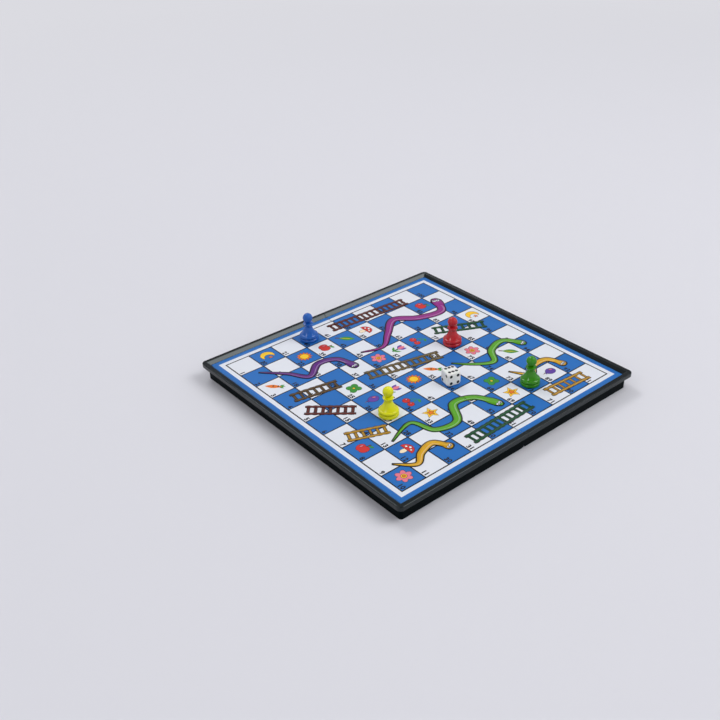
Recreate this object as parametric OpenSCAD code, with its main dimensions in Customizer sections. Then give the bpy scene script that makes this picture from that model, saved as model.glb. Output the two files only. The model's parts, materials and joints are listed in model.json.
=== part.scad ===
/* [Board] */
// Width of the board along the fold line
board_w = 250; // [220:1:300]
// Depth of the open board, both halves together
board_d = 250; // [220:1:300]
// Height from the table to the top of the rim
board_h = 14.7; // [13.5:0.1:18]

/* [Rim] */
// Outer edge of the rim to the edge of the printed sheet
rim_w = 6.2; // [5.5:0.1:8]
// Rise of the rim above the printed sheet
rim_rise = 2.4; // [1.6:0.1:3]
// Run of the sloping inner face of the rim
rim_slope = 2.5; // [1.5:0.1:3]
// Thickness of the overhanging lip
lip_t = 3.6; // [3:0.1:4.5]
// Overhang of the lip past the walls
lip_overhang = 3.9; // [3:0.1:6]
// Corner radius of the lip, seen from above
lip_corner_r = 4; // [2:0.1:8]
// Rounding of the upper edge of the lip
lip_edge_r = 0.8; // [0.3:0.1:1.2]

/* [Tray] */
// Thickness of the outer walls
wall_t = 2; // [1.4:0.1:3]
// Corner radius of the outer walls
wall_corner_r = 2.5; // [1.5:0.1:6]
// Corner radius of the hollow underside
hollow_corner_r = 1; // [0.5:0.1:3]
// Thickness of the wall along the fold
fold_wall_t = 3; // [2.4:0.1:4]
// Thickness of the panel under the sheets
panel_t = 2; // [1.4:0.1:3]
// Thickness of the stiffening ribs
rib_t = 1.2; // [0.8:0.1:2]
// Height of the stiffening ribs
rib_h = 1.6; // [1:0.1:2.5]
// Ribs that run from the fold to the front wall
ribs_across = 5; // [1:1:8]
// Ribs that run along the fold
ribs_along = 2; // [1:1:4]

/* [Sheets] */
// Thickness of the steel sheet that the magnets hold on to
steel_t = 0.3; // [0.2:0.05:0.6]
// Thickness of the printed sheet
print_t = 0.25; // [0.15:0.05:0.4]
// Clearance around the edges of the sheets
sheet_clear = 0.1; // [0.05:0.05:0.3]

/* [Hinge] */
// Gap between the halves at the fold, open and closed
fold_gap = 0.3; // [0.2:0.05:0.6]
// Radius of the rolling edge at the fold, and height of the pins
fold_r = 2.2; // [2:0.1:3]
// End of the board to the middle of a hinge link
hinge_inset = 37; // [25:1:60]
// Width of a hinge link
link_w = 12; // [8:0.5:20]
// Radius of the rounded ends of a hinge link
link_r = 1.95; // [1.7:0.05:2]
// Clearance around a hinge link in its notch
link_clear = 0.4; // [0.2:0.1:0.8]
// Diameter of a hinge pin
pin_d = 1.6; // [1.2:0.1:1.8]
// Radial running clearance of a pin in the link
pin_run = 0.05; // [0.02:0.01:0.1]
// Radial clearance of a pin in the cheeks of the tray
pin_fit = 0.02; // [0.01:0.01:0.05]
// Thickness of the cheeks that hold the pins
cheek_t = 4; // [3:0.5:6]
// Depth of the cheeks behind the pins
cheek_back = 2.6; // [2.2:0.1:5]
// Length that a pin stays inside its cheek at each end
pin_inset = 0.3; // [0.1:0.1:1]
// Chamfer at the ends of a pin
pin_chamfer = 0.2; // [0.1:0.05:0.4]

/* [Closure magnets] */
// Diameter of a closure magnet
clasp_d = 6; // [4:0.5:8]
// Thickness of a closure magnet
clasp_t = 2; // [1:0.5:4]
// Depth of a closure magnet below the edge of the walls
clasp_sink = 0.1; // [0.05:0.05:0.5]
// Wall of the boss around a closure magnet
clasp_wall = 1.5; // [1:0.1:3]
// Depth that the boss runs into the walls beside it
clasp_merge = 0.8; // [0.4:0.1:1.2]

/* [Pawns] */
// Height of a pawn
pawn_h = 25; // [23:0.5:30]
// Diameter of the base of a pawn
pawn_base_d = 16; // [14:0.5:20]
// Diameter of the head of a pawn
pawn_head_d = 8.4; // [7:0.1:10]
// Height of the foot of a pawn
foot_h = 2.8; // [2.4:0.1:3.5]
// Rounding of the edges of the foot
foot_edge_r = 0.9; // [0.4:0.1:1.1]
// Height of the rounded belly above the foot
belly_h = 3.3; // [2.6:0.1:4]
// Radius of the skirt where it leaves the belly
skirt_r = 6.7; // [5.5:0.1:7]
// Radius of the neck
neck_r = 3.2; // [2.2:0.1:3.5]
// Radius of the hollow curve of the skirt
flare_r = 16; // [9:0.5:40]
// Radius of the collar under the head
collar_r = 4.3; // [3.8:0.1:5]
// Drop from the head to the edge of the collar
collar_drop = 1; // [0.6:0.1:1.2]
// Height of the collar from the neck to its edge
collar_h = 3.1; // [2:0.1:4]
// Rounding of the edge of the collar
collar_edge_r = 0.4; // [0.2:0.05:0.6]
// Rise of the collar's upper face to the head
collar_rise = 1.2; // [0.6:0.1:2]
// Diameter of the magnet in the base
base_magnet_d = 10; // [6:0.5:11]
// Thickness of the magnet in the base
base_magnet_t = 2; // [1:0.5:3]
// Depth of the magnet below the base
base_magnet_sink = 0.2; // [0.1:0.05:0.5]

/* [Die] */
// Size of the die
die_size = 12; // [10:0.5:14]
// Rounding of the edges of the die
die_edge_r = 1.6; // [0.8:0.1:2]
// Diameter of a pip
pip_d = 2.7; // [1.6:0.1:2.8]
// Depth of a pip's recess
pip_depth = 0.6; // [0.4:0.1:1]
// Depth of the paint below the face of the die
pip_sink = 0.12; // [0.05:0.01:0.2]
// Middle of a face to the outer rows of pips
pip_pitch = 3.1; // [3:0.1:3.3]
// Fold line to the middle of the die
die_from_fold = 8.4; // [8.2:0.1:60]
// Turn of the die on the board, in degrees
die_turn = -14; // [-45:1:45]

/* [Hidden] */
$fn = 64;
// Overrun of every cut
cut = 1;
// Clearance between a magnet and its pocket
magnet_fit = 0.02;

// Places on the board, as shares of the half width and half depth of the printed sheets
blue_place_shares = [-0.826, -0.285];
red_place_shares = [-0.08, 0.435];
green_place_shares = [0.654, 0.452];
yellow_place_shares = [0.292, -0.484];
die_place_share = 0.286;
// Reach of the die's corners, as a share of half its size
die_round_share = 1.44;

half_w = board_w / 2;
half_d = board_d / 2;
lip_z = board_h - lip_t;
wall_x = half_w - lip_overhang;
wall_y = half_d - lip_overhang;
hollow_x = wall_x - wall_t;
hollow_y = wall_y - wall_t;
sheet_x = half_w - rim_w;
sheet_y = half_d - rim_w;
print_z = board_h - rim_rise;
steel_z = print_z - print_t - steel_t;
panel_z = steel_z - panel_t;
fold_y = fold_gap / 2;
hollow_fold_y = fold_y + fold_wall_t;
pin_y = fold_y + fold_r;
pin_z = fold_r;
hinge_x = half_w - hinge_inset;
notch_w = link_w + 2 * link_clear;
cheek_span = notch_w + 2 * cheek_t;
pin_length = cheek_span - 2 * pin_inset;
clasp_r = clasp_d / 2 + magnet_fit;
clasp_boss_r = clasp_r + clasp_wall;
clasp_x = hollow_x - clasp_boss_r + clasp_merge;
clasp_y = hollow_y - clasp_boss_r + clasp_merge;
pawn_base_r = pawn_base_d / 2;
pawn_head_r = pawn_head_d / 2;
skirt_z = foot_h + belly_h;
collar_z = pawn_h - pawn_head_d - collar_drop;
neck_z = collar_z - collar_h;
die_round_r = die_round_share * die_size / 2;

// Centre of the circle of the skirt's hollow curve, outside the pawn
skirt_chord = [neck_r - skirt_r, neck_z - skirt_z];
skirt_chord_l = norm(skirt_chord);
flare_offset = sqrt(pow(flare_r, 2) - pow(skirt_chord_l / 2, 2));
flare_centre = [
    (skirt_r + neck_r) / 2 + flare_offset * skirt_chord[1] / skirt_chord_l,
    (skirt_z + neck_z) / 2 - flare_offset * skirt_chord[0] / skirt_chord_l
];

// Turns what is drawn for the front half round to the back half
module at_back() {
    rotate([0, 0, 180]) children();
}

// Plan of one half: square at the fold, rounded at its two outer corners
module half_plan(x, y, r) {
    translate([-x, r - y]) square([2 * x, y - r - fold_y]);
    translate([r - x, -y]) square([2 * (x - r), y - fold_y]);
    for (side = [-1, 1]) translate([side * (x - r), r - y]) circle(r);
}

// Section of the lip from the centre of a corner outwards
module lip_section() {
    square([lip_corner_r, lip_t - lip_edge_r]);
    square([lip_corner_r - lip_edge_r, lip_t]);
    translate([lip_corner_r - lip_edge_r, lip_t - lip_edge_r]) circle(lip_edge_r);
}

// Overhanging lip with a rounded upper edge, run along three sides and round two corners
module lip() {
    run_x = half_w - lip_corner_r;
    run_y = half_d - lip_corner_r;
    translate([0, 0, lip_z]) {
        translate([-run_x, -run_y, 0]) cube([2 * run_x, run_y - fold_y, lip_t]);
        translate([run_x, -run_y, 0]) rotate([90, 0, -90]) linear_extrude(2 * run_x) lip_section();
        for (side = [0, 1]) mirror([side, 0, 0]) {
            translate([run_x, -fold_y, 0]) rotate([90, 0, 0]) linear_extrude(run_y - fold_y) lip_section();
            translate([run_x, -run_y, 0]) rotate([0, 0, -90]) rotate_extrude(angle = 90) lip_section();
        }
    }
}

module walls() {
    linear_extrude(lip_z) half_plan(wall_x, wall_y, wall_corner_r);
}

// Seat of the sheets, with the mitred slope of the rim above it
module sheet_seat() {
    top_z = board_h + cut;
    top_run = rim_slope * (rim_rise + cut) / rim_rise;
    translate([-sheet_x, -sheet_y, steel_z]) cube([2 * sheet_x, sheet_y + cut, print_z - steel_z]);
    intersection() {
        translate([0, cut, 0]) rotate([90, 0, 0]) linear_extrude(half_d + cut)
            polygon([[-sheet_x, print_z], [sheet_x, print_z],
                     [sheet_x + top_run, top_z], [-sheet_x - top_run, top_z]]);
        translate([-half_w, 0, 0]) rotate([90, 0, 90]) linear_extrude(board_w)
            polygon([[-sheet_y, print_z], [cut, print_z], [cut, top_z], [-sheet_y - top_run, top_z]]);
    }
}

// Hollow under the panel, open at the table
module hollow() {
    r = hollow_corner_r;
    depth = hollow_y - hollow_fold_y;
    translate([-hollow_x, -hollow_y, -cut]) linear_extrude(panel_z + cut) {
        translate([r, 0]) square([2 * (hollow_x - r), depth]);
        translate([0, r]) square([2 * hollow_x, depth - 2 * r]);
        for (x = [r, 2 * hollow_x - r], y = [r, depth - r]) translate([x, y]) circle(r);
    }
}

module ribs() {
    rib_z = panel_z - rib_h;
    span_x = 2 * hollow_x / (ribs_across + 1);
    span_y = (hollow_y - hollow_fold_y) / (ribs_along + 1);
    for (i = [1 : ribs_across])
        translate([i * span_x - hollow_x - rib_t / 2, -wall_y, rib_z]) cube([rib_t, wall_y, panel_t + rib_h]);
    for (i = [1 : ribs_along])
        translate([-wall_x, i * span_y - hollow_y - rib_t / 2, rib_z]) cube([2 * wall_x, rib_t, panel_t + rib_h]);
}

// Pair of cheeks that hold one end of a hinge link
module cheeks() {
    cheek_depth = pin_y + cheek_back;
    for (side = [-1, 1])
        translate([side * (notch_w + cheek_t) / 2 - cheek_t / 2, -cheek_depth, 0])
            cube([cheek_t, cheek_depth, board_h]);
}

module clasp_boss() {
    cylinder(h = board_h, r = clasp_boss_r);
}

// What is cut off below the rolling edge at the fold
module fold_round() {
    translate([-half_w - cut, 0, 0]) rotate([90, 0, 90]) linear_extrude(board_w + 2 * cut) difference() {
        translate([-pin_y, -cut]) square([fold_r + cut, pin_z + cut]);
        translate([-pin_y, pin_z]) circle(fold_r);
    }
}

module hinge_notch() {
    back = pin_y + link_r + link_clear;
    translate([-notch_w / 2, -back, -cut]) cube([notch_w, back + cut, pin_z + link_r + link_clear + cut]);
}

// Round bar along the fold, centred on a pin axis
module pin_bar(radius, length) {
    translate([-length / 2, -pin_y, pin_z]) rotate([0, 90, 0]) cylinder(h = length, r = radius);
}

// One half of the board: lip, walls, panel and everything moulded with them
module tray_half() {
    difference() {
        union() {
            lip();
            walls();
        }
        sheet_seat();
        difference() {
            hollow();
            ribs();
            for (x = [-hinge_x, hinge_x]) translate([x, 0, 0]) cheeks();
            for (x = [-clasp_x, clasp_x]) translate([x, -clasp_y, 0]) clasp_boss();
        }
        fold_round();
        for (x = [-hinge_x, hinge_x]) translate([x, 0, 0]) {
            hinge_notch();
            pin_bar(pin_d / 2 + pin_fit, cheek_span + 2 * cut);
        }
        for (x = [-clasp_x, clasp_x])
            translate([x, -clasp_y, -cut]) cylinder(h = clasp_t + clasp_sink + cut, r = clasp_r);
    }
}

// Flat sheet that lies in the seat of one half
module half_sheet(z, t) {
    x = sheet_x - sheet_clear;
    depth = sheet_y - fold_y - 2 * sheet_clear;
    translate([-x, sheet_clear - sheet_y, z]) cube([2 * x, depth, t]);
}

// Link with an eye for a pin of each half
module hinge_link() {
    translate([-link_w / 2, 0, pin_z]) rotate([90, 0, 90]) linear_extrude(link_w) difference() {
        union() {
            translate([-pin_y, -link_r]) square([2 * pin_y, 2 * link_r]);
            for (y = [-pin_y, pin_y]) translate([y, 0]) circle(link_r);
        }
        for (y = [-pin_y, pin_y]) translate([y, 0]) circle(pin_d / 2 + pin_run);
    }
}

module hinge_pin() {
    shank = pin_length - 2 * pin_chamfer;
    pin_bar(pin_d / 2, shank);
    for (side = [0, 1]) mirror([side, 0, 0])
        translate([shank / 2, -pin_y, pin_z]) rotate([0, 90, 0])
            cylinder(h = pin_chamfer, r1 = pin_d / 2, r2 = pin_d / 2 - pin_chamfer);
}

module closure_magnet(side) {
    translate([side * clasp_x, -clasp_y, clasp_sink]) cylinder(h = clasp_t, r = clasp_d / 2);
}

// Half section of a pawn: foot, belly, skirt, collar and head
module pawn_section() {
    belly_r = belly_h / 2;
    translate([0, foot_edge_r]) square([pawn_base_r, foot_h - 2 * foot_edge_r]);
    square([pawn_base_r - foot_edge_r, foot_h]);
    for (z = [foot_edge_r, foot_h - foot_edge_r])
        translate([pawn_base_r - foot_edge_r, z]) circle(foot_edge_r);
    translate([0, foot_h]) square([pawn_base_r - belly_r, belly_h]);
    translate([pawn_base_r - belly_r, foot_h + belly_r]) circle(belly_r);
    difference() {
        polygon([[0, skirt_z], [skirt_r, skirt_z], [neck_r, neck_z], [0, neck_z]]);
        translate(flare_centre) circle(flare_r, $fn = 128);
    }
    polygon([[0, neck_z], [neck_r, neck_z], [collar_r - collar_edge_r, collar_z - collar_edge_r],
             [collar_r - collar_edge_r, collar_z + collar_edge_r],
             [0, collar_z + collar_edge_r + collar_rise]]);
    translate([collar_r - collar_edge_r, collar_z]) circle(collar_edge_r);
    intersection() {
        translate([0, pawn_h - pawn_head_r]) circle(pawn_head_r);
        translate([0, collar_z]) square([pawn_head_r, pawn_h]);
    }
}

module pawn() {
    difference() {
        rotate_extrude() pawn_section();
        translate([0, 0, -cut])
            cylinder(h = base_magnet_t + base_magnet_sink + cut, r = base_magnet_d / 2 + magnet_fit);
    }
}

module pawn_magnet() {
    translate([0, 0, base_magnet_sink]) cylinder(h = base_magnet_t, r = base_magnet_d / 2);
}

// Stands a pawn or its magnet on the printed sheet
module at_place(shares) {
    translate([shares[0] * sheet_x, shares[1] * sheet_y, print_z]) children();
}

// Square prism along Z with rounded edges
module die_prism() {
    flat = die_size - 2 * die_edge_r;
    linear_extrude(die_size, center = true) {
        square([die_size, flat], center = true);
        square([flat, die_size], center = true);
        for (x = [-flat, flat] / 2, y = [-flat, flat] / 2) translate([x, y]) circle(die_edge_r);
    }
}

// Places of the pips of a face, in steps of the pitch
function corner_pair() = [[-1, -1], [1, 1]];
function other_pair() = [[-1, 1], [1, -1]];
function side_pair() = [[-1, 0], [1, 0]];
function middle_pip() = [[0, 0]];
function pips_of(count) = concat(
    count % 2 == 1 ? middle_pip() : [],
    count > 1 ? corner_pair() : [],
    count > 3 ? other_pair() : [],
    count > 5 ? side_pair() : []
);

// Turn that brings the upper face to each side, by the number of pips there
face_turns = [[180, 0, 0], [90, 0, 0], [0, -90, 0], [0, 90, 0], [-90, 0, 0], [0, 0, 0]];

// Upright discs at every pip, from a depth below the faces up to a height over them
module pip_discs(depth, height) {
    for (count = [1 : 6], place = pips_of(count))
        rotate(face_turns[count - 1]) translate([place[0] * pip_pitch, place[1] * pip_pitch, die_size / 2 - depth])
            cylinder(h = depth + height, r = pip_d / 2);
}

module at_die_place() {
    translate([die_place_share * sheet_x, die_from_fold, print_z + die_size / 2])
        rotate([0, 0, die_turn]) children();
}

module die_body() {
    difference() {
        intersection() {
            die_prism();
            rotate([90, 0, 0]) die_prism();
            rotate([0, 90, 0]) die_prism();
            sphere(die_round_r);
        }
        pip_discs(pip_depth, cut);
    }
}

module tray_front() {
    color("#1c1d1f") tray_half();
}

module tray_back() {
    color("#1c1d1f") at_back() tray_half();
}

module steel_sheet_front() {
    color("#8d9298") half_sheet(steel_z, steel_t);
}

module steel_sheet_back() {
    color("#8d9298") at_back() half_sheet(steel_z, steel_t);
}

module print_sheet_front() {
    color("#2f72ba") half_sheet(steel_z + steel_t, print_t);
}

module print_sheet_back() {
    color("#2f72ba") at_back() half_sheet(steel_z + steel_t, print_t);
}

module hinge_link_left() {
    color("#232427") translate([-hinge_x, 0, 0]) hinge_link();
}

module hinge_link_right() {
    color("#232427") translate([hinge_x, 0, 0]) hinge_link();
}

module hinge_pin_front_left() {
    color("#b4b6b9") translate([-hinge_x, 0, 0]) hinge_pin();
}

module hinge_pin_front_right() {
    color("#b4b6b9") translate([hinge_x, 0, 0]) hinge_pin();
}

module hinge_pin_back_left() {
    color("#b4b6b9") at_back() translate([hinge_x, 0, 0]) hinge_pin();
}

module hinge_pin_back_right() {
    color("#b4b6b9") at_back() translate([-hinge_x, 0, 0]) hinge_pin();
}

module closure_magnet_front_left() {
    color("#c6c8cb") closure_magnet(-1);
}

module closure_magnet_front_right() {
    color("#c6c8cb") closure_magnet(1);
}

module closure_magnet_back_left() {
    color("#c6c8cb") at_back() closure_magnet(1);
}

module closure_magnet_back_right() {
    color("#c6c8cb") at_back() closure_magnet(-1);
}

module pawn_blue() {
    color("#2855af") at_place(blue_place_shares) pawn();
}

module pawn_red() {
    color("#be282d") at_place(red_place_shares) pawn();
}

module pawn_green() {
    color("#3c8c14") at_place(green_place_shares) pawn();
}

module pawn_yellow() {
    color("#ebe114") at_place(yellow_place_shares) pawn();
}

module pawn_magnet_blue() {
    color("#3a3b3d") at_place(blue_place_shares) pawn_magnet();
}

module pawn_magnet_red() {
    color("#3a3b3d") at_place(red_place_shares) pawn_magnet();
}

module pawn_magnet_green() {
    color("#3a3b3d") at_place(green_place_shares) pawn_magnet();
}

module pawn_magnet_yellow() {
    color("#3a3b3d") at_place(yellow_place_shares) pawn_magnet();
}

module die() {
    color("#f0f0ec") at_die_place() die_body();
}

module die_pips() {
    color("#101010") at_die_place() pip_discs(pip_depth, -pip_sink);
}

tray_front();
tray_back();
steel_sheet_front();
steel_sheet_back();
print_sheet_front();
print_sheet_back();
hinge_link_left();
hinge_link_right();
hinge_pin_front_left();
hinge_pin_front_right();
hinge_pin_back_left();
hinge_pin_back_right();
closure_magnet_front_left();
closure_magnet_front_right();
closure_magnet_back_left();
closure_magnet_back_right();
pawn_blue();
pawn_red();
pawn_green();
pawn_yellow();
pawn_magnet_blue();
pawn_magnet_red();
pawn_magnet_green();
pawn_magnet_yellow();
die();
die_pips();
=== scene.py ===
"""Dresses a folding snakes and ladders board: printed faces, moulded plastic, playing pieces and stage."""

import json
import math
from typing import NamedTuple

import bmesh
import bpy
from bpy.props import FloatProperty, FloatVectorProperty, IntProperty, PointerProperty
from mathutils import Matrix, Vector

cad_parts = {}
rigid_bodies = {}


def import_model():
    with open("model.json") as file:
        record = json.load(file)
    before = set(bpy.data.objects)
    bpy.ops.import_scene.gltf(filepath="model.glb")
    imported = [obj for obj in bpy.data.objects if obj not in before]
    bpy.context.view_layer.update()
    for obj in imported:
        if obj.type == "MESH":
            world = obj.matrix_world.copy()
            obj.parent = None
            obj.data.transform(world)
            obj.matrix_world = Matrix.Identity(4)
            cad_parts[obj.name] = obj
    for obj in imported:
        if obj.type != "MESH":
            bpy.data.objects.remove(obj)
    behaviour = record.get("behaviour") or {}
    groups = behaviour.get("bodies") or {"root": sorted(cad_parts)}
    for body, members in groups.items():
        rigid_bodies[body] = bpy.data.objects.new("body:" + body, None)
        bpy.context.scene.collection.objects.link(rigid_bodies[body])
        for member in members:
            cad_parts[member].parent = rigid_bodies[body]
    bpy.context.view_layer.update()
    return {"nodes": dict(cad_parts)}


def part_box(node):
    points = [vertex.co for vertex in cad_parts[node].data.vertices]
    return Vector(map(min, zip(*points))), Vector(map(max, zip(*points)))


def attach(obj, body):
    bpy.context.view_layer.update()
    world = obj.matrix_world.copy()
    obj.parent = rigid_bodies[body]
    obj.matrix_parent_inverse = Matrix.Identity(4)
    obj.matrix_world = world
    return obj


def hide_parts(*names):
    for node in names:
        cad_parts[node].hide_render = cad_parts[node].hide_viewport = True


bl_info = {
    "name": "Snakes and Ladders Board",
    "version": (1, 0, 0),
    "blender": (4, 5, 0),
    "location": "View3D > Sidebar > Board",
    "description": "Prints, finishes and stages a folding snakes and ladders board",
    "category": "Object",
}

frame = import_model()

# The two halves: the box of each printed sheet, its edge along the fold and the side of the fold it lies on
HALVES = ("front", "back")
SHEET_BOX = {half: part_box("print_sheet_" + half) for half in HALVES}
SHEET_TOP = SHEET_BOX["front"][1].z
FOLD_EDGE = {"front": SHEET_BOX["front"][1].y, "back": SHEET_BOX["back"][0].y}
FOLD_SIDE = {"front": -1, "back": 1}
SIDES = ("left", "right")
PAWNS = ("blue", "red", "green", "yellow")

# Squares along a side of the board, and the inks of the sheets in the order of their materials
SQUARES = 10
SHEET_INKS = ("blue", "white", "black")
BLUE, WHITE, BLACK = range(3)

# Layers of ink, counted up from the sheet
INK_LEVELS = 11
NUMBER_LEVEL = 1
RUNG_EDGE_LEVEL, RUNG_LEVEL, RAIL_EDGE_LEVEL, RAIL_LEVEL, GRAIN_LEVEL = 2, 3, 4, 5, 6
SNAKE_EDGE_LEVEL, SKIN_LEVEL, STREAK_LEVEL, EYE_LEVEL, PUPIL_LEVEL = 7, 8, 9, 10, 11

# Gaps in metres that are closed: in a film of ink, in a digit as it is typed and at the cut along the fold
FILM_GAP, DIGIT_GAP, CUT_GAP = 1e-6, 1e-5, 1e-9

# Ladders: wood, foot and top in squares from the corner of the first square
LADDERS = (
    ("red_brown", (0.45, 4.55), (0.72, 8.3)),
    ("red_brown", (4.4, 0.4), (5.6, 1.75)),
    ("olive", (4.15, 3.4), (4.85, 6.45)),
    ("dark_brown", (3.5, 0.5), (3.85, 2.35)),
    ("green", (9.52, 3.4), (9.4, 6.45)),
    ("green", (3.35, 7.45), (4.35, 9.4)),
    ("gold", (9.38, 7.45), (9.5, 9.4)),
    ("gold", (6.62, 0.45), (7.2, 1.85)),
)
LADDER_POINTS = 96

# Snakes: skin, width as a share of the widest snake, and the way from head to tail in squares
SNAKES = (
    ("magenta", 0.92, (
        (1.35, 9.35), (2.35, 8.85), (2.15, 7.75), (1.6, 6.9), (2.3, 6.0), (2.95, 5.2), (2.7, 4.3),
    )),
    ("lime", 0.76, (
        (8.85, 5.75), (7.85, 5.35), (7.6, 4.5), (8.45, 3.85), (8.3, 2.95), (7.45, 2.6), (7.85, 1.45),
    )),
    ("lime", 0.68, ((6.55, 9.45), (5.75, 8.95), (5.95, 8.1), (6.6, 7.55), (6.15, 6.8), (5.6, 6.3))),
    ("purple", 0.68, ((3.45, 3.55), (2.5, 3.35), (2.25, 2.6), (2.75, 1.85), (2.05, 1.35), (1.25, 0.6))),
    ("amber", 0.66, ((9.45, 2.75), (8.8, 2.4), (8.95, 1.75), (9.3, 1.25), (8.75, 0.65))),
    ("amber", 0.66, ((8.6, 9.4), (7.85, 9.15), (7.8, 8.45), (8.15, 7.95), (7.45, 7.45))),
)
SNAKE_POINTS = 180

# Half width of a snake from head to tail, as shares of its length and of its greatest half width
SNAKE_TAPER_SHARES = (
    (0.0, 0.12), (0.006, 0.42), (0.02, 0.72), (0.05, 0.98), (0.08, 0.94), (0.125, 0.7), (0.19, 0.72),
    (0.35, 0.8), (0.55, 0.68), (0.75, 0.46), (0.9, 0.22), (1.0, 0.03),
)

# The light streak of a snake: its start and end in widths of the snake, its edges in half widths
STREAK_INSET = 1.6
STREAK_EDGES = (-0.62, -0.3)

# The eyes of a snake: their place from the snout in widths of the snake, the end of the brow that they
# stand on as a factor of that, how far each is from the middle in eyes, and their discs from below:
# level, radius and shift along the snake in eyes, and ink
EYE_INSET = 0.55
BROW_END = 1.5
EYE_SIDE = 0.56
EYE_DISCS = (
    (STREAK_LEVEL, 0.66, 0.0, "Line Ink"),
    (EYE_LEVEL, 0.5, 0.0, "Eye Ink"),
    (PUPIL_LEVEL, 0.27, -0.14, "Line Ink"),
)

# Lighter shades, as a factor and an addend: the grain in a ladder's wood and the streak in a snake's skin
GRAIN_SHADE, STREAK_SHADE = (1.7, 0.01), (0.83, 0.17)

# Small pictures: the squares that each kind is printed on, and their middle in shares of a square
PICTURES = {
    "apple": (8, 39, 82),
    "balloon": (26, 89),
    "carrot": (3, 55),
    "cherries": (34, 64),
    "clover": (25, 68),
    "flower": (10, 44, 75),
    "leaf": (42, 87),
    "moon": (20, 97),
    "mushroom": (12, 59),
    "star": (33, 69),
    "sun": (22, 46),
    "tulip": (35, 57),
}
PICTURE_MIDDLE = (0.47, 0.54)
PICTURE_INKS = {
    "black": (22, 22, 26), "red": (204, 48, 44), "orange": (226, 118, 34), "yellow": (244, 196, 44),
    "brown": (124, 74, 40), "cream": (240, 222, 190), "pink": (226, 122, 140), "violet": (98, 66, 160),
    "leaf": (58, 142, 52), "white": (240, 240, 240),
}

# Soft light panels: width and place
PANELS = {
    "overhead": (14.0, (0.0, 0.0, 6.0)),
    "front": (0.75, (0.3, -2.25, 1.95)),
    "left": (1.0, (-1.89, 0.21, 2.31)),
    "right": (1.5, (1.3, 1.4, 2.23)),
}

# The floor lies just under the board, and the sky dims between two heights of a unit direction
FLOOR_DROP = 0.0001
SKY_FADE = (0.3, 0.6)


def srgb(red, green, blue):
    """Linear colour with alpha from 8-bit screen values."""
    shares = [value / 255 for value in (red, green, blue)]
    return (*(s / 12.92 if s <= 0.04045 else ((s + 0.055) / 1.055) ** 2.4 for s in shares), 1.0)


def length(name, description, default):
    """Length property in metres."""
    return FloatProperty(name=name, description=description, default=default, unit="LENGTH", precision=5)


def share(name, description, default):
    """Property between nothing and all."""
    return FloatProperty(name=name, description=description, default=default, min=0.0, subtype="FACTOR")


def angle(name, description, degrees):
    """Angle property."""
    return FloatProperty(name=name, description=description, default=math.radians(degrees), subtype="ANGLE")


def power(name, description, default):
    """Power property in watts."""
    return FloatProperty(name=name, description=description, default=default, min=0.0, unit="POWER")


def number(name, description, default):
    """Whole number property."""
    return IntProperty(name=name, description=description, default=default, min=1)


def colour(name, description, red, green, blue):
    """Colour property from 8-bit screen values."""
    return FloatVectorProperty(
        name=name, description=description, default=srgb(red, green, blue),
        size=4, min=0.0, max=1.0, subtype="COLOR",
    )


class PrintSettings(bpy.types.PropertyGroup):
    """Sizes and inks of the printed faces."""

    square: length("Square", "Side of one square", 0.022)
    line: length("Line", "Width of the lines between the squares", 0.0011)
    white_band: length("White band", "Width of the white band round the squares", 0.0044)
    ink_step: length("Ink step", "Rise from one layer of ink to the next", 0.000011)
    number_height: length("Number height", "Height of the digits", 0.0044)
    number_pitch: length("Number pitch", "Middle of one digit to the middle of the next", 0.003)
    number_side: length("Number side", "Right edge of a square to the middle of its last digit", 0.0028)
    number_foot: length("Number foot", "Lower edge of a square to the middle of its number", 0.0033)
    number_weight: share("Number weight", "Growth of the strokes, as a share of the digit height", 0.047)
    picture: length("Picture", "Width of a small picture", 0.0135)
    picture_line: length("Picture line", "Width of the black line round a picture", 0.0003)
    blue: colour("Blue", "Blue squares and border", 36, 108, 184)
    white: colour("White", "White squares and band", 224, 227, 234)
    black: colour("Black", "Lines, numbers and outlines", 22, 22, 26)


class LadderSettings(bpy.types.PropertyGroup):
    """Sizes and woods of the printed ladders."""

    width: length("Width", "Middle of one rail to the middle of the other", 0.0094)
    rail: length("Rail", "Width of a rail", 0.0023)
    rung: length("Rung", "Width of a rung", 0.0017)
    pitch: length("Pitch", "Middle of one rung to the middle of the next", 0.0055)
    overhang: length("Overhang", "Length of a rung past the middle of its rails", 0.0013)
    outline: length("Outline", "Width of the black line round the wood", 0.0005)
    grain: length("Grain", "Width of the light line along a rail", 0.00035)
    knot: share("Knot", "Swelling of the rails between the rungs", 0.16)
    red_brown: colour("Red-brown", "Wood of two ladders", 92, 38, 31)
    olive: colour("Olive", "Wood of one ladder", 104, 88, 54)
    dark_brown: colour("Dark brown", "Wood of one ladder", 86, 64, 35)
    green: colour("Green", "Paint of two ladders", 18, 74, 40)
    gold: colour("Gold", "Wood of two ladders", 170, 128, 36)


class SnakeSettings(bpy.types.PropertyGroup):
    """Sizes and skins of the printed snakes."""

    width: length("Width", "Greatest width of the widest snake", 0.0102)
    outline: length("Outline", "Width of the black line round a snake", 0.001)
    eye: length("Eye", "Diameter of an eye of the widest snake", 0.0035)
    lime: colour("Lime", "Skin of two snakes", 90, 164, 32)
    purple: colour("Purple", "Skin of one snake", 100, 40, 128)
    magenta: colour("Magenta", "Skin of one snake", 146, 38, 132)
    amber: colour("Amber", "Skin of two snakes", 218, 166, 26)


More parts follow.
